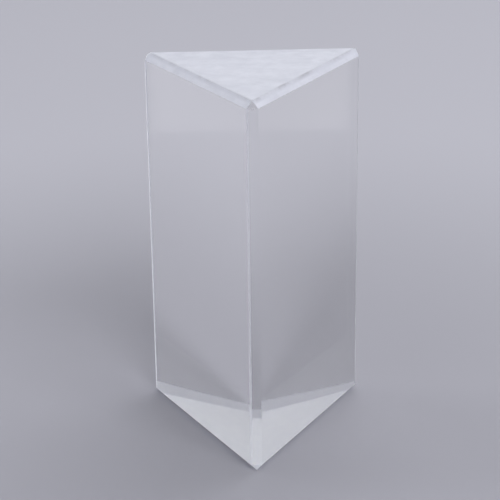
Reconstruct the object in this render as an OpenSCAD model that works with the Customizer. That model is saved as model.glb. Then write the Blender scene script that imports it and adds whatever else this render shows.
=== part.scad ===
// Triangular optical glass prism, standing on one ground end.
// It is one block of glass: three polished faces, a narrow flat along each long
// edge, two ground ends and a ground bevel round each end.
// The origin is on the block's long axis at the lower end, +Z runs up the block,
// and the refracting edge points along -Y.

/* [Block] */
// Width of the two faces that meet at the refracting edge, between sharp corners
face_w = 30; // [15:0.5:60]
// Length of the block between its two ground ends
block_l = 50; // [20:1:200]
// Angle between those two faces, in degrees
refracting_angle = 60; // [45:1:90]

/* [Edges] */
// Width of the flat along each of the three long edges
edge_flat_w = 1.4; // [0.4:0.1:3]

/* [Ends] */
// Distance that the ground bevel of an end reaches in from a polished face
end_bevel_in = 0.75; // [0.2:0.05:1.5]
// Distance that the ground bevel runs along a polished face from the end
end_bevel_drop = 0.9; // [0.2:0.05:2]

/* [Hidden] */

glass_colour = [0.82, 0.85, 0.88, 0.45];

// The block's axis is the centre of the circle that touches all three faces
half_angle = refracting_angle / 2;
base_angle = 90 - half_angle;
axis_to_face = face_w * sin(refracting_angle) / (2 * (1 + sin(half_angle)));

// Outward direction of each polished face: back, left and right
face_directions = [90, 180 + half_angle, -half_angle];

// Outward direction and angle of each long edge: front, back right and back left
edge_corners = [
    [-90, refracting_angle],
    [base_angle / 2, base_angle],
    [180 - base_angle / 2, base_angle]
];

// Longer than any line across the block, so that a cutter passes right through it
cutter_l = 4 * face_w;

function axis_to_corner(corner_angle) = axis_to_face / sin(corner_angle / 2);
function axis_to_flat(corner_angle) =
    axis_to_corner(corner_angle) - edge_flat_w / (2 * tan(corner_angle / 2));
function point_at(direction, distance) = distance * [cos(direction), sin(direction)];

// The block before its edges are worked, with all its corners sharp
module sharp_block() {
    linear_extrude(height = block_l)
        polygon([for (edge = edge_corners) point_at(edge[0], axis_to_corner(edge[1]))]);
}

// What grinding one long edge takes away, down to its flat
module edge_waste(direction, corner_angle) {
    rotate([0, 0, direction])
        translate([axis_to_flat(corner_angle), -cutter_l / 2, -end_bevel_drop])
            cube([cutter_l, cutter_l, block_l + 2 * end_bevel_drop]);
}

// What bevelling the lower end along one face takes away: a wedge whose slope runs
// through the bevel's two edges and on past them by one bevel
module bevel_waste(direction) {
    outer = axis_to_face + end_bevel_in;
    rotate([90, 0, direction])
        linear_extrude(height = cutter_l, center = true)
            polygon([
                [outer, 2 * end_bevel_drop],
                [axis_to_face - 2 * end_bevel_in, -end_bevel_drop],
                [outer, -end_bevel_drop]
            ]);
}

// The lower end's work, and the same work turned over at the upper end
module at_both_ends() {
    children();
    translate([0, 0, block_l])
        mirror([0, 0, 1])
            children();
}

module glass_prism() {
    color(glass_colour)
        difference() {
            sharp_block();
            for (edge = edge_corners)
                edge_waste(edge[0], edge[1]);
            at_both_ends()
                for (direction = face_directions)
                    bevel_waste(direction);
        }
}

glass_prism();
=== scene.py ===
"""Clear glass prism with ground ends, standing on a pale studio floor."""

import math
import random

import bmesh
import bpy
from mathutils import Matrix, Vector


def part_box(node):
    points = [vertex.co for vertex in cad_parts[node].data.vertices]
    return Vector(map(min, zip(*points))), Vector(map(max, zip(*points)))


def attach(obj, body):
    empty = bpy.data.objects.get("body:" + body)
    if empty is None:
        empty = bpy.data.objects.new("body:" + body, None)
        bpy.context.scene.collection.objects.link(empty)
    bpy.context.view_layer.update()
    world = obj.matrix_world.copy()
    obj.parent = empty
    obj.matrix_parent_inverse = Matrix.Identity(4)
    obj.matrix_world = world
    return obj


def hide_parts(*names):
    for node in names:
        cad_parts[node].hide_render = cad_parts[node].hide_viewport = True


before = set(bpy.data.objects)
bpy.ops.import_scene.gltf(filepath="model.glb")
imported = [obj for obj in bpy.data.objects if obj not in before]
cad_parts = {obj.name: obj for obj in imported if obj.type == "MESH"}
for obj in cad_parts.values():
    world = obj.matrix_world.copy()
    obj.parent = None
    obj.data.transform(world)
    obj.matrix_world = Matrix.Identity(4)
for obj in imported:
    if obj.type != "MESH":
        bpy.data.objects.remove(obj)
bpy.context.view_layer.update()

bl_info = {
    "name": "Glass Prism",
    "version": (1, 0, 0),
    "blender": (4, 5, 0),
    "location": "View3D > Sidebar > Prism",
    "description": "Builds a triangular glass prism with ground ends and its studio stage",
    "category": "Object",
}

NODE = "glass_prism"
BODY = "root"

# The block is shaped in millimetres and turned into metres at the end
MM_PER_M = 1000.0
node_low, node_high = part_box(NODE)

# Outward directions, in degrees from +X, of the polished faces and of the long edges
FACE_DIRECTIONS = (90.0, 210.0, -30.0)
EDGE_DIRECTIONS = (-90.0, 30.0, 150.0)
FRONT_DIRECTIONS = FACE_DIRECTIONS[1:]

# Material slots of the block
POLISHED = 0
GROUND = 1
HAZY = 2
# The foot slot holds whitened ground glass, painted light on the lower end and on the sideways
# edge faces
FOOT = 3

# A face whose normal leans this far up or down belongs to a ground end or its bevel
GROUND_LEAN = 0.2

# A face that looks this squarely up or down is an end itself, and not its bevel
END_LEVEL = 0.95

# Mean directions of the long arrises that grinding has frosted, and their sizes in PrismShape
FROSTED_ARRISES = {240.0: "front_left_arris", 180.0: "back_left_arris", 120.0: "back_left_arris"}
ARRIS_SPREAD = math.cos(math.radians(25))

# The frosted back edges and the worn corner look this far to their side, and no further forward;
# what looks less far back than the last value gets the whiter foot glass as a painted highlight
SIDEWAYS = 0.1
FORWARD_MOST = -0.36
WHITER_HIGHLIGHT_LIMIT = 0.05

# Distance from the middle at which the rear bevels' left and right sizes are given, in millimetres
REAR_ENDS = 12.0

# Where the facets touch the ellipse that the worn back corner follows, in degrees
CORNER_FACETS = (15.0, 30.0, 45.0, 60.0, 75.0)

# The flat of the refracting edge and its pointed heads face forward, with no turn to either side
FORWARD = 0.9
NO_TURN = 0.02

# Directions of the upper bevels that carry a line of dirt, how strong it is and how unbroken
SMUDGES = ((210.0, 0.7, 0.35), (-30.0, 0.95, 0.2))

# How far from a cutting plane a point still counts as on it, in millimetres
CUT_TOLERANCE = 1e-4

# Segments of the roundings along the long arrises and along the worn edges of the ends
ARRIS_SEGMENTS = 3
WORN_SEGMENTS = 2

# Seed of the chips, the share of them that are deep, and how many times deeper those are
CHIP_SEED = 17
DEEP_SHARE = 0.05
DEEP_TIMES = 3.5

# Scales of the marks that grinding leaves, per metre, and how the streaks are turned and drawn out
MARK_SCALES = {"Cloud": 380.0, "Streak": 900.0, "Grain": 5200.0}
STREAK_TURN = math.radians(12)
STREAK_STRETCH = (0.55, 1.3, 1.0)

# Polished glass: roughness from its clearest to its haziest patches, and the clouds that give them
HAZE_CLOUDS = (0.35, 0.75)
HAZE = (0.078, 0.088)

# Rough fringe beside a bevel: its width in metres, the grain that nicks it and their roughness
FRINGE_WIDTH = 0.00025
NICK_GRAIN = (0.5, 0.62)
NICK_ROUGHNESS = 0.45

# Ground glass: share of streaks in its mottling, the mottling that runs from dull to bright,
# and the clouds and roughness from dull to bright
STREAK_SHARE = 0.2
MOTTLING = (0.45, 0.75)
GROUND_CLOUDS = (0.3, 0.7)
GROUND_ROUGHNESS = (0.78, 0.58)

# Strength of the ground grain, and its depth in metres
GRAIN_STRENGTH = 0.3
GRAIN_DEPTH = 0.00003

# Clouds between which a line of dirt goes from broken to whole
DIRT_CLOUDS = (0.46, 0.64)

# Rise of the floor's rim, the steps along it and round the floor, and the weld between them
RIM_RISE = math.radians(80)
RIM_STEPS = 20
FLOOR_STEPS = 96
WELD_DISTANCE = 1e-6

# Large softboxes: place and size in metres, and the name of their power in StageLook
SOFTBOXES = {
    "main_softbox": ((0.4, -0.7, 0.61), (0.7, 0.4), "main_power"),
    "overhead_softbox": ((0.16, 0.28, 0.575), (0.6, 0.6), "overhead_power"),
    "rear_softbox": ((-0.86, 0.26, 0.24), (0.6, 0.36), "rear_power"),
}
SOFTBOX_AIM = (0.0, 0.0, 0.02)

# Small softboxes beside the block: width and height in metres, then direction and turn of each
SIDE_SIZE = (0.022, 0.016)
SIDE_SOFTBOXES = {"right_softbox": (30.0, 1), "left_softbox": (150.0, -1)}

# Colour of the even light from all round
SKY_COLOUR = (0.95, 0.965, 1.0, 1.0)


class PrismShape(bpy.types.PropertyGroup):
    """Sizes of the glass block."""

    length: bpy.props.FloatProperty(
        name="Length",
        description="Length of the block between its two ground ends",
        default=node_high.z - node_low.z,
        min=0.02,
        unit="LENGTH",
        precision=5,
    )
    face_distance: bpy.props.FloatProperty(
        name="Axis to face",
        description="Distance from the block's axis to each polished face",
        default=node_high.y,
        min=0.004,
        unit="LENGTH",
        precision=5,
    )
    flat_distance: bpy.props.FloatProperty(
        name="Axis to edge flat",
        description="Distance from the block's axis to the flat along each long edge",
        default=-node_low.y,
        min=0.005,
        unit="LENGTH",
        precision=5,
    )
    bevel_in: bpy.props.FloatProperty(
        name="Bevel in",
        description="Distance that the ground bevel of an end reaches in from a polished face",
        default=0.00075,
        min=0.0002,
        unit="LENGTH",
        precision=5,
    )
    bevel_drop: bpy.props.FloatProperty(
        name="Bevel drop",
        description="Distance that the ground bevel runs along a polished face from the end",
        default=0.0009,
        min=0.0002,
        unit="LENGTH",
        precision=5,
    )
    lower_rear_left: bpy.props.FloatProperty(
        name="Lower rear bevel, left",
        description="Drop of the lower rear bevel at its left end, where it is ground widest",
        default=0.0015,
        min=0.0002,
        unit="LENGTH",
        precision=5,
    )
    lower_rear_right: bpy.props.FloatProperty(
        name="Lower rear bevel, right",
        description="Drop of the lower rear bevel at its right end",
        default=0.00094,
        min=0.0002,
        unit="LENGTH",
        precision=5,
    )
    lower_rear_in: bpy.props.FloatProperty(
        name="Lower rear bevel in",
        description="Distance that the lower rear bevel reaches in from the back face",
        default=0.00045,
        min=0.0001,
        unit="LENGTH",
        precision=5,
    )
    upper_rear_left: bpy.props.FloatProperty(
        name="Upper rear bevel, left",
        description="Distance that the upper rear bevel reaches in at its left end",
        default=0.0013,
        min=0.0002,
        unit="LENGTH",
        precision=5,
    )
    upper_rear_right: bpy.props.FloatProperty(
        name="Upper rear bevel, right",
        description="Distance that the upper rear bevel reaches in at its right end",
        default=0.00061,
        min=0.0002,
        unit="LENGTH",
        precision=5,
    )
    fine_arris: bpy.props.FloatProperty(
        name="Fine arris",
        description="Width of the polished rounding beside an edge flat",
        default=0.00001,
        min=0.00001,
        unit="LENGTH",
        precision=5,
    )
    front_left_arris: bpy.props.FloatProperty(
        name="Front left arris",
        description="Width of the frosted rounding between the left face and the front flat",
        default=0.00018,
        min=0.00001,
        unit="LENGTH",
        precision=5,
    )
    back_left_arris: bpy.props.FloatProperty(
        name="Back left arris",
        description="Width of the frosted roundings on both sides of the back left flat",
        default=0.00065,
        min=0.00001,
        unit="LENGTH",
        precision=5,
    )
    corner_in: bpy.props.FloatProperty(
        name="Worn corner in",
        description="Distance that the rounding of the upper left back corner reaches in",
        default=0.00105,
        min=0.0001,
        unit="LENGTH",
        precision=5,
    )
    corner_drop: bpy.props.FloatProperty(
        name="Worn corner drop",
        description="Distance that the rounding of the upper left back corner reaches down",
        default=0.0018,
        min=0.0001,
        unit="LENGTH",
        precision=5,
    )
    ground_arris: bpy.props.FloatProperty(
        name="Ground arris",
        description="Width of the worn rounding between an end and its bevel",
        default=0.00007,
        min=0.00001,
        unit="LENGTH",
        precision=5,
    )
    chip_depth: bpy.props.FloatProperty(
        name="Chip depth",
        description="How far the grinding has chipped a bevel's edge into a polished face",
        default=0.00005,
        min=0.0,
        unit="LENGTH",
        precision=5,
    )
    chip_cuts: bpy.props.IntProperty(
        name="Chip cuts",
        description="Points along each bevel's edge that the chips are shaped with",
        default=84,
        min=4,
    )


class GlassLook(bpy.types.PropertyGroup):
    """Finish of the polished and ground glass."""

    ior: bpy.props.FloatProperty(
        name="Refractive index",
        description="Refractive index of the crown glass",
        default=1.517,
        min=1.3,
        max=2.0,
    )
    ground_bright: bpy.props.FloatVectorProperty(
        name="Ground, bright",
        description="Colour of the freshest ground glass",
        default=(0.845, 0.865, 0.955),
        size=3,
        subtype="COLOR",
        min=0.0,
        max=1.0,
    )
    ground_dull: bpy.props.FloatVectorProperty(
        name="Ground, dull",
        description="Colour of ground glass in the cloudy patches",
        default=(0.755, 0.775, 0.86),
        size=3,
        subtype="COLOR",
        min=0.0,
        max=1.0,
    )
    ground_through: bpy.props.FloatProperty(
        name="Ground, light through",
        description="Share of light that passes through the ground surface",
        default=0.52,
        min=0.0,
        max=1.0,
        subtype="FACTOR",
    )
    smudge: bpy.props.FloatVectorProperty(
        name="Smudge",
        description="Colour of the dirt left along the inner edges of the upper bevels",
        default=(0.47, 0.475, 0.53),
        size=3,
        subtype="COLOR",
        min=0.0,
        max=1.0,
    )
    smudge_width: bpy.props.FloatProperty(
        name="Smudge width",
        description="Distance that the dirt spreads to each side of a bevel's inner edge",
        default=0.0004,
        min=0.00005,
        unit="LENGTH",
        precision=5,
    )
    hazy_through: bpy.props.FloatProperty(
        name="Hazy, light through",
        description="Share of light that passes through the lower bevels and the front left arris",
        default=0.7,
        min=0.0,
        max=1.0,
        subtype="FACTOR",
    )
    # Painted light: the foot colours are whiter than the upper end's ground glass, standing for
    # the light that the block gathers onto its lower end; the hazy glass shares these colours
    foot_bright: bpy.props.FloatVectorProperty(
        name="Foot, bright",
        description="Colour of the freshest glass on the lower end, its bevels and the worn edge",
        default=(0.938, 0.95, 1.0),
        size=3,
        subtype="COLOR",
        min=0.0,
        max=1.0,
    )
    foot_dull: bpy.props.FloatVectorProperty(
        name="Foot, dull",
        description="Colour of the cloudy patches in the same places",
        default=(0.908, 0.92, 0.98),
        size=3,
        subtype="COLOR",
        min=0.0,
        max=1.0,
    )
    foot_through: bpy.props.FloatProperty(
        name="Foot, light through",
        description="Share of light that passes through the lower end",
        default=0.0,
        min=0.0,
        max=1.0,
        subtype="FACTOR",
    )


class StageLook(bpy.types.PropertyGroup):
    """Floor, lamps and camera."""

    floor_colour: bpy.props.FloatVectorProperty(
        name="Floor",
        description="Colour of the plain pale floor and its raised rim",
        default=(0.406, 0.405, 0.455),
        size=3,
        subtype="COLOR",
        min=0.0,
        max=1.0,
    )
    # Painted shade: the floor close round the block is coloured darker, a shadow pool painted into
    # its tone that fades to the plain floor colour between the two radii below
    floor_painted_shade: bpy.props.FloatVectorProperty(
        name="Floor, near",
        description="Colour of the floor close round the block",
        default=(0.306, 0.305, 0.345),
        size=3,
        subtype="COLOR",
        min=0.0,
        max=1.0,
    )
    painted_shade_radius: bpy.props.FloatProperty(
        name="Near radius",
        description="Distance from the block at which the floor begins to grow paler",
        default=0.02,
        min=0.0,
        unit="LENGTH",
    )
    pale_radius: bpy.props.FloatProperty(
        name="Pale radius",
        description="Distance from the block at which the floor is palest",
        default=0.14,
        min=0.05,
        unit="LENGTH",
    )
    floor_radius: bpy.props.FloatProperty(
        name="Floor radius",
        description="Radius of the flat part of the floor",
        default=1.2,
        min=0.3,
        unit="LENGTH",
    )
    rim_radius: bpy.props.FloatProperty(
        name="Rim radius",
        description="Radius of the curve between the floor and its rim",
        default=0.3,
        min=0.05,
        unit="LENGTH",
    )
    floor_gap: bpy.props.FloatProperty(
        name="Floor gap",
        description="Gap under the block, so that glass and floor don't share a plane",
        default=0.00003,
        min=0.00001,
        unit="LENGTH",
        precision=5,
    )
    main_power: bpy.props.FloatProperty(
        name="Main softbox",
        description="Power of the large softbox above the camera and to its right",
        default=7.6,
        min=0.0,
        unit="POWER",
    )
    overhead_power: bpy.props.FloatProperty(
        name="Overhead softbox",
        description="Power of the softbox over the block, behind it and a little to its right",
        default=2.65,
        min=0.0,
        unit="POWER",
    )
    rear_power: bpy.props.FloatProperty(
        name="Rear softbox",
        description="Power of the low softbox to the left of the block and behind it",
        default=4.0,
        min=0.0,
        unit="POWER",
    )
    side_power: bpy.props.FloatProperty(
        name="Side softboxes",
        description="Power of each small softbox beside the block",
        default=0.00036,
        min=0.0,
        unit="POWER",
        precision=5,
    )
    side_distance: bpy.props.FloatProperty(
        name="Side distance",
        description="Distance of the side softboxes from the block's axis",
        default=0.09,
        min=0.05,
        unit="LENGTH",
    )
    side_height: bpy.props.FloatProperty(
        name="Side height",
        description="Height of the side softboxes' lower edge above the block's foot",
        default=0.01565,
        min=0.0,
        unit="LENGTH",
        precision=5,
    )
    side_reach: bpy.props.FloatProperty(
        name="Side reach",
        description="How far a side softbox reaches back past the line between it and the axis",
        default=0.00245,
        unit="LENGTH",
        precision=5,
    )
    sky_strength: bpy.props.FloatProperty(
        name="Surrounding light",
        description="Strength of the even light from all round",
        default=0.28,
        min=0.0,
    )
    camera_aim: bpy.props.FloatVectorProperty(
        name="Camera aim",
        description="Point in the middle of the picture",
        default=(-0.000473, -0.000849, 0.024942),
        size=3,
        subtype="TRANSLATION",
        unit="LENGTH",
    )
    camera_distance: bpy.props.FloatProperty(
        name="Camera distance",
        description="Distance from the camera to its aim",
        default=0.226537,
        min=0.05,
        unit="LENGTH",
    )
    camera_azimuth: bpy.props.FloatProperty(
        name="Camera azimuth",
        description="Angle of the camera round the block, from straight in front of its edge",
        default=math.radians(-0.0772),
        subtype="ANGLE",
    )
    camera_elevation: bpy.props.FloatProperty(
        name="Camera elevation",
        description="Angle of the camera above the horizon",
        default=math.radians(21.4705),
        subtype="ANGLE",
    )
    camera_roll: bpy.props.FloatProperty(
        name="Camera roll",
        description="Turn of the camera about its own line of sight",
        default=math.radians(0.7614),
        subtype="ANGLE",
    )
    camera_lens: bpy.props.FloatProperty(
        name="Camera lens",
        description="Focal length on a sensor 36 mm wide",
        default=122.466,
        min=10.0,
        unit="CAMERA",
    )


def direction_at(degrees):
    """Level unit vector at an angle from +X."""
    angle = math.radians(degrees)
    return Vector((math.cos(angle), math.sin(angle), 0.0))


def shave(bm, point, normal):
    """Cuts away what lies beyond a plane and closes the cut."""
    cut = bmesh.ops.bisect_plane(
        bm,
        geom=bm.verts[:] + bm.edges[:] + bm.faces[:],
        dist=CUT_TOLERANCE,
        plane_co=point,
        plane_no=normal,
        clear_outer=True,
    )
    rim = [item for item in cut["geom_cut"] if isinstance(item, bmesh.types.BMEdge)]
    bmesh.ops.contextual_create(bm, geom=rim)


def round_edges(bm, edges, width, segments):
    """Rounds edges by a width, measured on the faces beside them."""
    bmesh.ops.bevel(
        bm,
        geom=edges,
        offset=width,
        offset_type="OFFSET",
        segments=segments,
        profile=0.5,
        affect="EDGES",
        clamp_overlap=True,
        material=-1,
    )


def is_ground(face):
    """True for a ground end or bevel."""
    return abs(face.normal.z) > GROUND_LEAN


def frosted_arris(way):
    """Name of the frosted arris that looks this way, if there is one."""
    for degrees, name in FROSTED_ARRISES.items():
        if way.dot(direction_at(degrees)) > ARRIS_SPREAD:
            return name
    return None


def is_front(face):
    """True for the flat of the refracting edge and for its pointed upper head."""
    squarely = face.normal.y < -FORWARD and abs(face.normal.x) < NO_TURN
    return squarely and face.normal.z > -GROUND_LEAN


def finish_of(face):
    """Material slot of a face of the finished block."""
    if abs(face.normal.z) > END_LEVEL:
        return GROUND if face.normal.z > 0 else FOOT
    if is_front(face):
        return POLISHED
    if face.normal.z < -GROUND_LEAN:
        return HAZY
    if abs(face.normal.x) > SIDEWAYS and face.normal.y > FORWARD_MOST:
        # Painted highlight: the sideways faces of the back left edge and the worn corner take the
        # whiter foot glass, so that they show as a bright line and a bright corner
        return FOOT if face.normal.y < WHITER_HIGHLIGHT_LIMIT else GROUND
    if is_ground(face):
        return GROUND
    return HAZY if frosted_arris(face.normal) else POLISHED


def sharp_block(bm, shape):
    """Triangular block with sharp corners, one of them towards -Y."""
    turned = Matrix.Rotation(math.pi, 4, "Z")
    bmesh.ops.create_circle(
        bm,
        cap_ends=True,
        segments=3,
        radius=2 * shape.face_distance * MM_PER_M,
        matrix=turned,
    )
    raised = bmesh.ops.extrude_face_region(bm, geom=bm.faces[:])
    upper = [item for item in raised["geom"] if isinstance(item, bmesh.types.BMVert)]
    bmesh.ops.translate(bm, verts=upper, vec=(0.0, 0.0, shape.length * MM_PER_M))
    bmesh.ops.recalc_face_normals(bm, faces=bm.faces[:])


def arris_width(edge, shape):
    """Width of the rounding along one long arris."""
    way = sum((face.normal for face in edge.link_faces), Vector()).normalized()
    return getattr(shape, frosted_arris(way) or "fine_arris")


def flatten_long_edges(bm, shape):
    """Cuts the flat along each long edge, and rounds its two arrises."""
    reach = shape.flat_distance * MM_PER_M
    for degrees in EDGE_DIRECTIONS:
        outward = direction_at(degrees)
        shave(bm, outward * reach, outward)
    bm.normal_update()
    by_width = {}
    for edge in bm.edges:
        if not any(is_ground(face) for face in edge.link_faces):
            by_width.setdefault(arris_width(edge, shape), []).append(edge)
    for width, edges in by_width.items():
        round_edges(bm, edges, width * MM_PER_M, ARRIS_SEGMENTS)


def shave_through(bm, left, right, middle):
    """Shaves the back along the plane through three points."""
    normal = (right - left).cross(middle - left).normalized()
    shave(bm, left, normal if normal.y > 0 else -normal)


def bevel_rear(bm, shape):
    """Grinds the two bevels of the back face, both wider at the left."""
    face = shape.face_distance * MM_PER_M
    length = shape.length * MM_PER_M
    drop = shape.bevel_drop * MM_PER_M
    shave_through(
        bm,
        Vector((-REAR_ENDS, face, shape.lower_rear_left * MM_PER_M)),
        Vector((REAR_ENDS, face, shape.lower_rear_right * MM_PER_M)),
        Vector((0.0, face - shape.lower_rear_in * MM_PER_M, 0.0)),
    )
    shave_through(
        bm,
        Vector((-REAR_ENDS, face - shape.upper_rear_left * MM_PER_M, length)),
        Vector((REAR_ENDS, face - shape.upper_rear_right * MM_PER_M, length)),
        Vector((0.0, face, length - drop)),
    )


def point_front_corners(bm, shape):
    """Leads the flat of the refracting edge to a point at the corner of each end."""
    length = shape.length * MM_PER_M
    drop = shape.bevel_drop * MM_PER_M
    corner = 2 * (shape.face_distance - shape.bevel_in) * MM_PER_M
    reach = shape.flat_distance * MM_PER_M
    for height, up in ((0.0, -1.0), (length, 1.0)):
        normal = Vector((0.0, -drop, up * (reach - corner))).normalized()
        shave(bm, Vector((0.0, -corner, height)), normal)


def round_back_corner(bm, shape):
    """Rounds the upper left corner at the back with a few narrow facets."""
    inward = shape.corner_in * MM_PER_M
    drop = shape.corner_drop * MM_PER_M
    left_end = min(vert.co.x for vert in bm.verts)
    centre = Vector((left_end + inward, 0.0, shape.length * MM_PER_M - drop))
    for degrees in CORNER_FACETS:
        angle = math.radians(degrees)
        touch = Vector((-inward * math.cos(angle), 0.0, drop * math.sin(angle)))
        normal = Vector((-math.cos(angle) / inward, 0.0, math.sin(angle) / drop)).normalized()
        shave(bm, centre + touch, normal)


def bevel_ends(bm, shape):
    """Grinds a bevel along each polished face at both ends, then wears its inner edges."""
    inward = shape.bevel_in * MM_PER_M
    drop = shape.bevel_drop * MM_PER_M
    length = shape.length * MM_PER_M
    for degrees in FRONT_DIRECTIONS:
        outward = direction_at(degrees)
        on_face = outward * shape.face_distance * MM_PER_M
        for height, lean in ((drop, -inward), (length - drop, inward)):
            normal = (outward * drop + Vector((0.0, 0.0, lean))).normalized()
            shave(bm, on_face + Vector((0.0, 0.0, height)), normal)
    bevel_rear(bm, shape)
    point_front_corners(bm, shape)
    round_back_corner(bm, shape)
    bm.normal_update()
    worn = [
        edge
        for edge in bm.edges
        if all(is_ground(face) and not is_front(face) for face in edge.link_faces)
    ]
    round_edges(bm, worn, shape.ground_arris * MM_PER_M, WORN_SEGMENTS)


def chip_bevel_edges(bm, shape):
    """Breaks the line between each ground bevel and its polished face with small chips."""
    bm.normal_update()
    middle = shape.length * MM_PER_M / 2
    shortest = shape.face_distance * MM_PER_M
    lines = []
    for edge in bm.edges:
        kinds = {is_ground(face) for face in edge.link_faces}
        if len(kinds) == 2 and edge.calc_length() > shortest:
            lines.append(edge)
    split = bmesh.ops.subdivide_edges(bm, edges=lines, cuts=shape.chip_cuts)
    points = [item for item in split["geom_inner"] if isinstance(item, bmesh.types.BMVert)]
    points.sort(key=lambda vert: (round(vert.co.z, 3), round(vert.co.x, 3), round(vert.co.y, 3)))
    draw = random.Random(CHIP_SEED)
    for vert in points:
        depth = shape.chip_depth * MM_PER_M * draw.random()
        if draw.random() < DEEP_SHARE:
            depth *= DEEP_TIMES
        vert.co.z += depth if vert.co.z < middle else -depth


def block_mesh(shape):
    """The finished block as a mesh in metres, with each finish in its own slot."""
    bm = bmesh.new()
    sharp_block(bm, shape)
    flatten_long_edges(bm, shape)
    bevel_ends(bm, shape)
    chip_bevel_edges(bm, shape)
    bmesh.ops.scale(bm, verts=bm.verts[:], vec=(1 / MM_PER_M,) * 3)
    bmesh.ops.recalc_face_normals(bm, faces=bm.faces[:])
    for face in bm.faces:
        face.smooth = False
        face.material_index = finish_of(face)
    if not all(edge.is_manifold for edge in bm.edges):
        raise RuntimeError("the glass block isn't closed")
    mesh = bpy.data.meshes.new("prism_block")
    bm.to_mesh(mesh)
    bm.free()
    return mesh


def add_node(tree, kind, place, **settings):
    """Adds a node at a place in the editor, with its settings."""
    node = tree.nodes.new(kind)
    node.location = place
    for name, value in settings.items():
        setattr(node, name, value)
    return node


def grinding_marks():
    """Node group: cloudy patches, lapping streaks and fine grain of worked glass."""
    name = "grinding_marks"
    if name in bpy.data.node_groups:
        return bpy.data.node_groups[name]
    group = bpy.data.node_groups.new(name, "ShaderNodeTree")
    group.interface.new_socket("Vector", in_out="INPUT", socket_type="NodeSocketVector")
    for label, scale in MARK_SCALES.items():
        title = f"{label} Scale"
        socket = group.interface.new_socket(title, in_out="INPUT", socket_type="NodeSocketFloat")
        socket.default_value = scale
    for label in MARK_SCALES:
        group.interface.new_socket(label, in_out="OUTPUT", socket_type="NodeSocketFloat")
    entry = add_node(group, "NodeGroupInput", (-700, 0))
    leave = add_node(group, "NodeGroupOutput", (300, 0))
    links = group.links
    cloud = add_node(group, "ShaderNodeTexNoise", (-200, 250))
    cloud.inputs["Detail"].default_value = 5.0
    cloud.inputs["Roughness"].default_value = 0.6
    drawn_out = add_node(group, "ShaderNodeMapping", (-450, 0))
    drawn_out.inputs["Rotation"].default_value = (0.0, 0.0, STREAK_TURN)
    drawn_out.inputs["Scale"].default_value = STREAK_STRETCH
    streak = add_node(group, "ShaderNodeTexNoise", (-200, 0))
    streak.inputs["Detail"].default_value = 4.0
    streak.inputs["Roughness"].default_value = 0.65
    grain = add_node(group, "ShaderNodeTexNoise", (-200, -250))
    grain.inputs["Detail"].default_value = 2.0
    links.new(entry.outputs["Vector"], cloud.inputs["Vector"])
    links.new(entry.outputs["Vector"], drawn_out.inputs["Vector"])
    links.new(drawn_out.outputs["Vector"], streak.inputs["Vector"])
    links.new(entry.outputs["Vector"], grain.inputs["Vector"])
    links.new(entry.outputs["Cloud Scale"], cloud.inputs["Scale"])
    links.new(entry.outputs["Streak Scale"], streak.inputs["Scale"])
    links.new(entry.outputs["Grain Scale"], grain.inputs["Scale"])
    links.new(cloud.outputs["Fac"], leave.inputs["Cloud"])
    links.new(streak.outputs["Fac"], leave.inputs["Streak"])
    links.new(grain.outputs["Fac"], leave.inputs["Grain"])
    return group


def new_material(name):
    """New material: itself, its tree, its Principled shader, coordinates and grinding marks."""
    material = bpy.data.materials.new(name)
    material.use_nodes = True
    tree = material.node_tree
    shader = tree.nodes["Principled BSDF"]
    coords = add_node(tree, "ShaderNodeTexCoord", (-1100, 0))
    marks = add_node(tree, "ShaderNodeGroup", (-900, 0), node_tree=grinding_marks())
    tree.links.new(coords.outputs["Object"], marks.inputs["Vector"])
    return material, tree, shader, coords, marks


def map_range(tree, place, source, low, high, to_low, to_high):
    """Maps a value from one range to another, and holds it there."""
    node = add_node(tree, "ShaderNodeMapRange", place)
    node.inputs["From Min"].default_value = low
    node.inputs["From Max"].default_value = high
    node.inputs["To Min"].default_value = to_low
    node.inputs["To Max"].default_value = to_high
    tree.links.new(source, node.inputs["Value"])
    return node.outputs["Result"]


def maths(tree, place, operation, first, second):
    """Joins two values, of which either may be a plain number."""
    node = add_node(tree, "ShaderNodeMath", place, operation=operation)
    for value, socket in zip((first, second), node.inputs):
        if isinstance(value, (int, float)):
            socket.default_value = value
        else:
            tree.links.new(value, socket)
    return node.outputs["Value"]


def polished_glass(shape, look):
    """Clear polished glass with a slight haze, and a rough fringe beside the bevels."""
    material, tree, shader, coords, marks = new_material("polished_glass")
    shader.inputs["Base Color"].default_value = (1.0, 1.0, 1.0, 1.0)
    shader.inputs["Transmission Weight"].default_value = 1.0
    shader.inputs["IOR"].default_value = look.ior
    split = add_node(tree, "ShaderNodeSeparateXYZ", (-900, -350))
    tree.links.new(coords.outputs["Object"], split.inputs["Vector"])
    to_top = maths(tree, (-700, -450), "SUBTRACT", shape.length, split.outputs["Z"])
    to_end = maths(tree, (-520, -350), "MINIMUM", split.outputs["Z"], to_top)
    from_line = maths(tree, (-500, -500), "SUBTRACT", to_end, shape.bevel_drop)
    beside = add_node(tree, "ShaderNodeMath", (-420, -500), operation="ABSOLUTE")
    tree.links.new(from_line, beside.inputs[0])
    fringe = map_range(tree, (-340, -350), beside.outputs["Value"], 0.0, FRINGE_WIDTH, 1.0, 0.0)
    nicks = map_range(tree, (-520, -120), marks.outputs["Grain"], *NICK_GRAIN, 0.0, NICK_ROUGHNESS)
    rough_fringe = maths(tree, (-160, -250), "MULTIPLY", fringe, nicks)
    haze = map_range(tree, (-520, 120), marks.outputs["Cloud"], *HAZE_CLOUDS, *HAZE)
    roughness = maths(tree, (20, -100), "ADD", rough_fringe, haze)
    tree.links.new(roughness, shader.inputs["Roughness"])
    return material


def mix_colours(tree, place, factor, first, second):
    """Mixes two colours, of which either may be a plain one."""
    node = add_node(tree, "ShaderNodeMix", place, data_type="RGBA")
    tree.links.new(factor, node.inputs["Factor"])
    for colour, socket in ((first, node.inputs["A"]), (second, node.inputs["B"])):
        if isinstance(colour, bpy.types.NodeSocket):
            tree.links.new(colour, socket)
        else:
            socket.default_value = (*colour, 1.0)
    return node.outputs["Result"]


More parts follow.
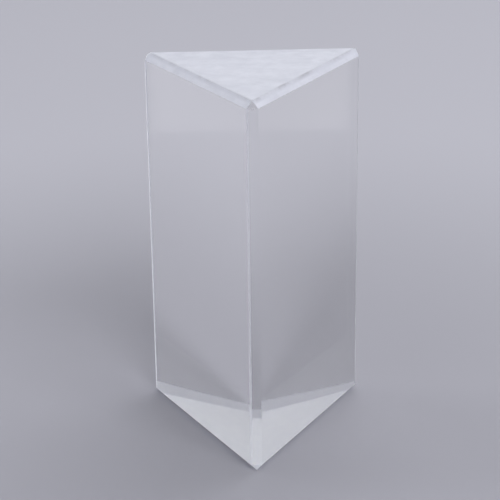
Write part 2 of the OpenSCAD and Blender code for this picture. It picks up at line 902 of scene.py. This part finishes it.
def smudge_line(tree, coords, marks, degrees, distance, width, strength, unbroken):
    """Mask of a broken line of dirt along a bevel's inner edge, at a distance from the axis."""
    across = add_node(tree, "ShaderNodeVectorMath", (-900, 600), operation="DOT_PRODUCT")
    across.inputs[1].default_value = direction_at(degrees)
    tree.links.new(coords.outputs["Object"], across.inputs[0])
    from_line = maths(tree, (-700, 600), "SUBTRACT", across.outputs["Value"], distance)
    beside = add_node(tree, "ShaderNodeMath", (-540, 600), operation="ABSOLUTE")
    tree.links.new(from_line, beside.inputs[0])
    line = map_range(tree, (-380, 600), beside.outputs["Value"], 0.0, width, strength, 0.0)
    broken = map_range(tree, (-380, 450), marks.outputs["Cloud"], *DIRT_CLOUDS, unbroken, 1.0)
    return maths(tree, (-220, 600), "MULTIPLY", line, broken)


def ground_glass(name, look, dull, bright, through, line_distance=0.0, smudges=()):
    """Frosted glass left by grinding, cloudy and streaked, with a fine grain."""
    material, tree, shader, coords, marks = new_material(name)
    shader.inputs["Transmission Weight"].default_value = through
    shader.inputs["IOR"].default_value = look.ior
    faint_streak = maths(tree, (-860, 250), "MULTIPLY", marks.outputs["Streak"], STREAK_SHARE)
    mottling = maths(tree, (-680, 150), "ADD", marks.outputs["Cloud"], faint_streak)
    patch = map_range(tree, (-500, 150), mottling, *MOTTLING, 0.0, 1.0)
    tone = mix_colours(tree, (-300, 200), patch, dull, bright)
    for degrees, *kind in smudges:
        dirt = smudge_line(tree, coords, marks, degrees, line_distance, look.smudge_width, *kind)
        tone = mix_colours(tree, (-100, 300), dirt, tone, look.smudge)
    tree.links.new(tone, shader.inputs["Base Color"])
    cloud = marks.outputs["Cloud"]
    roughness = map_range(tree, (-300, -50), cloud, *GROUND_CLOUDS, *GROUND_ROUGHNESS)
    tree.links.new(roughness, shader.inputs["Roughness"])
    bump = add_node(tree, "ShaderNodeBump", (-300, -300))
    bump.inputs["Strength"].default_value = GRAIN_STRENGTH
    bump.inputs["Distance"].default_value = GRAIN_DEPTH
    tree.links.new(marks.outputs["Grain"], bump.inputs["Height"])
    tree.links.new(bump.outputs["Normal"], shader.inputs["Normal"])
    return material


def floor_mesh(stage):
    """Round floor with a rim that curves up all round it."""
    bm = bmesh.new()
    level = -stage.floor_gap
    hub = bm.verts.new((0.0, 0.0, level))
    outer = bm.verts.new((stage.floor_radius, 0.0, level))
    bm.edges.new((hub, outer))
    bmesh.ops.spin(
        bm,
        geom=[outer],
        cent=(stage.floor_radius, 0.0, level + stage.rim_radius),
        axis=(0.0, -1.0, 0.0),
        angle=RIM_RISE,
        steps=RIM_STEPS,
        use_merge=False,
    )
    bmesh.ops.spin(
        bm,
        geom=bm.verts[:] + bm.edges[:],
        cent=(0.0, 0.0, 0.0),
        axis=(0.0, 0.0, 1.0),
        angle=2 * math.pi,
        steps=FLOOR_STEPS,
        use_merge=True,
    )
    bmesh.ops.remove_doubles(bm, verts=bm.verts[:], dist=WELD_DISTANCE)
    bmesh.ops.recalc_face_normals(bm, faces=bm.faces[:])
    if sum(face.normal.z * face.calc_area() for face in bm.faces) < 0:
        bmesh.ops.reverse_faces(bm, faces=bm.faces[:])
    for face in bm.faces:
        face.smooth = True
    mesh = bpy.data.meshes.new("studio_floor")
    bm.to_mesh(mesh)
    bm.free()
    return mesh


def pale_floor(stage):
    """Plain matt floor with a painted shade pool: deeper in tone near the block and paler away
    from it.
    """
    material = bpy.data.materials.new("pale_floor")
    material.use_nodes = True
    tree = material.node_tree
    shader = tree.nodes["Principled BSDF"]
    shader.inputs["Roughness"].default_value = 0.9
    shader.inputs["Specular IOR Level"].default_value = 0.2
    coords = add_node(tree, "ShaderNodeTexCoord", (-900, 0))
    away = add_node(tree, "ShaderNodeVectorMath", (-700, 0), operation="LENGTH")
    tree.links.new(coords.outputs["Object"], away.inputs[0])
    # Painted shade: a darker pool round the block that fades out to the plain floor colour
    shade_pool_fade = add_node(tree, "ShaderNodeMapRange", (-500, 0), interpolation_type="SMOOTHSTEP")
    shade_pool_fade.inputs["From Min"].default_value = stage.painted_shade_radius
    shade_pool_fade.inputs["From Max"].default_value = stage.pale_radius
    tree.links.new(away.outputs["Value"], shade_pool_fade.inputs["Value"])
    tone = add_node(tree, "ShaderNodeMix", (-300, 0), data_type="RGBA")
    tone.inputs["A"].default_value = (*stage.floor_painted_shade, 1.0)
    tone.inputs["B"].default_value = (*stage.floor_colour, 1.0)
    tree.links.new(shade_pool_fade.outputs["Result"], tone.inputs["Factor"])
    tree.links.new(tone.outputs["Result"], shader.inputs["Base Color"])
    return material


def softbox(name, place, aim, size, power):
    """Rectangular area lamp at a place, turned to its aim."""
    data = bpy.data.lights.new(name, "AREA")
    data.shape = "RECTANGLE"
    data.size, data.size_y = size
    data.energy = power
    lamp = bpy.data.objects.new(name, data)
    bpy.context.scene.collection.objects.link(lamp)
    lamp.location = place
    lamp.rotation_euler = (Vector(aim) - Vector(place)).to_track_quat("-Z", "Y").to_euler()
    lamp.visible_camera = False


def side_softboxes(stage):
    """Two small softboxes beside the block, which its front faces mirror as a paler band."""
    wide, tall = SIDE_SIZE
    upright = Vector((0.0, 0.0, 1.0))
    middle = upright * (stage.side_height + tall / 2)
    for name, (degrees, turn) in SIDE_SOFTBOXES.items():
        outward = direction_at(degrees)
        along = upright.cross(outward) * turn
        place = outward * stage.side_distance + along * (stage.side_reach - wide / 2) + middle
        softbox(name, place, place - outward, SIDE_SIZE, stage.side_power)


def studio_camera(stage):
    """Camera at the photograph's viewing angle."""
    azimuth = stage.camera_azimuth
    elevation = stage.camera_elevation
    right = Vector((math.cos(azimuth), math.sin(azimuth), 0.0))
    level = Vector((-math.sin(azimuth), math.cos(azimuth), 0.0))
    forward = level * math.cos(elevation) - Vector((0.0, 0.0, math.sin(elevation)))
    up = right.cross(forward)
    turn = Matrix.Rotation(stage.camera_roll, 3, forward)
    right.rotate(turn)
    up.rotate(turn)
    data = bpy.data.cameras.new("photo_camera")
    data.lens = stage.camera_lens
    data.sensor_width = 36.0
    data.clip_start = 0.01
    data.clip_end = 20.0
    camera = bpy.data.objects.new("photo_camera", data)
    bpy.context.scene.collection.objects.link(camera)
    axes = Matrix((right, up, -forward)).transposed().to_4x4()
    place = Vector(stage.camera_aim) - forward * stage.camera_distance
    camera.matrix_world = Matrix.Translation(place) @ axes
    bpy.context.scene.camera = camera


class PRISM_OT_block(bpy.types.Operator):
    """Build the glass block"""

    bl_idname = "prism.block"
    bl_label = "Glass Block"

    def execute(self, context):
        shape = context.scene.prism_shape
        look = context.scene.prism_glass
        block = bpy.data.objects.new("prism_block", block_mesh(shape))
        context.scene.collection.objects.link(block)
        line = shape.face_distance - shape.bevel_in
        ground = ("ground_glass", look, look.ground_dull, look.ground_bright, look.ground_through)
        hazy = ("hazy_glass", look, look.foot_dull, look.foot_bright, look.hazy_through)
        foot = ("ground_foot", look, look.foot_dull, look.foot_bright, look.foot_through)
        block.data.materials.append(polished_glass(shape, look))
        block.data.materials.append(ground_glass(*ground, line, SMUDGES))
        block.data.materials.append(ground_glass(*hazy))
        block.data.materials.append(ground_glass(*foot))
        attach(block, BODY)
        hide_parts(NODE)
        return {"FINISHED"}


class PRISM_OT_stage(bpy.types.Operator):
    """Build the floor, the lamps and the camera"""

    bl_idname = "prism.stage"
    bl_label = "Studio Stage"

    def execute(self, context):
        scene = context.scene
        stage = scene.prism_stage
        floor = bpy.data.objects.new("studio_floor", floor_mesh(stage))
        scene.collection.objects.link(floor)
        floor.data.materials.append(pale_floor(stage))
        for name, (place, size, power) in SOFTBOXES.items():
            softbox(name, place, SOFTBOX_AIM, size, getattr(stage, power))
        side_softboxes(stage)
        world = bpy.data.worlds.new("studio_light")
        world.use_nodes = True
        sky = world.node_tree.nodes["Background"]
        sky.inputs["Color"].default_value = SKY_COLOUR
        sky.inputs["Strength"].default_value = stage.sky_strength
        scene.world = world
        studio_camera(stage)
        scene.view_settings.view_transform = "Standard"
        scene.cycles.max_bounces = 32
        scene.cycles.glossy_bounces = 24
        scene.cycles.transmission_bounces = 24
        return {"FINISHED"}


class PRISM_PT_panel(bpy.types.Panel):
    """Sizes, finishes and build steps of the prism"""

    bl_idname = "PRISM_PT_panel"
    bl_label = "Glass Prism"
    bl_space_type = "VIEW_3D"
    bl_region_type = "UI"
    bl_category = "Prism"

    def draw(self, context):
        layout = self.layout
        for title, group, operator in (
            ("Block", context.scene.prism_shape, None),
            ("Glass", context.scene.prism_glass, PRISM_OT_block.bl_idname),
            ("Stage", context.scene.prism_stage, PRISM_OT_stage.bl_idname),
        ):
            box = layout.box()
            box.label(text=title)
            for name in group.__annotations__:
                box.prop(group, name)
            if operator:
                box.operator(operator)


CLASSES = (PrismShape, GlassLook, StageLook, PRISM_OT_block, PRISM_OT_stage, PRISM_PT_panel)


def register():
    for item in CLASSES:
        bpy.utils.register_class(item)
    bpy.types.Scene.prism_shape = bpy.props.PointerProperty(type=PrismShape)
    bpy.types.Scene.prism_glass = bpy.props.PointerProperty(type=GlassLook)
    bpy.types.Scene.prism_stage = bpy.props.PointerProperty(type=StageLook)


def unregister():
    del bpy.types.Scene.prism_stage
    del bpy.types.Scene.prism_glass
    del bpy.types.Scene.prism_shape
    for item in reversed(CLASSES):
        bpy.utils.unregister_class(item)


def main():
    register()
    bpy.ops.prism.block()
    bpy.ops.prism.stage()


if __name__ == "__main__":
    main()
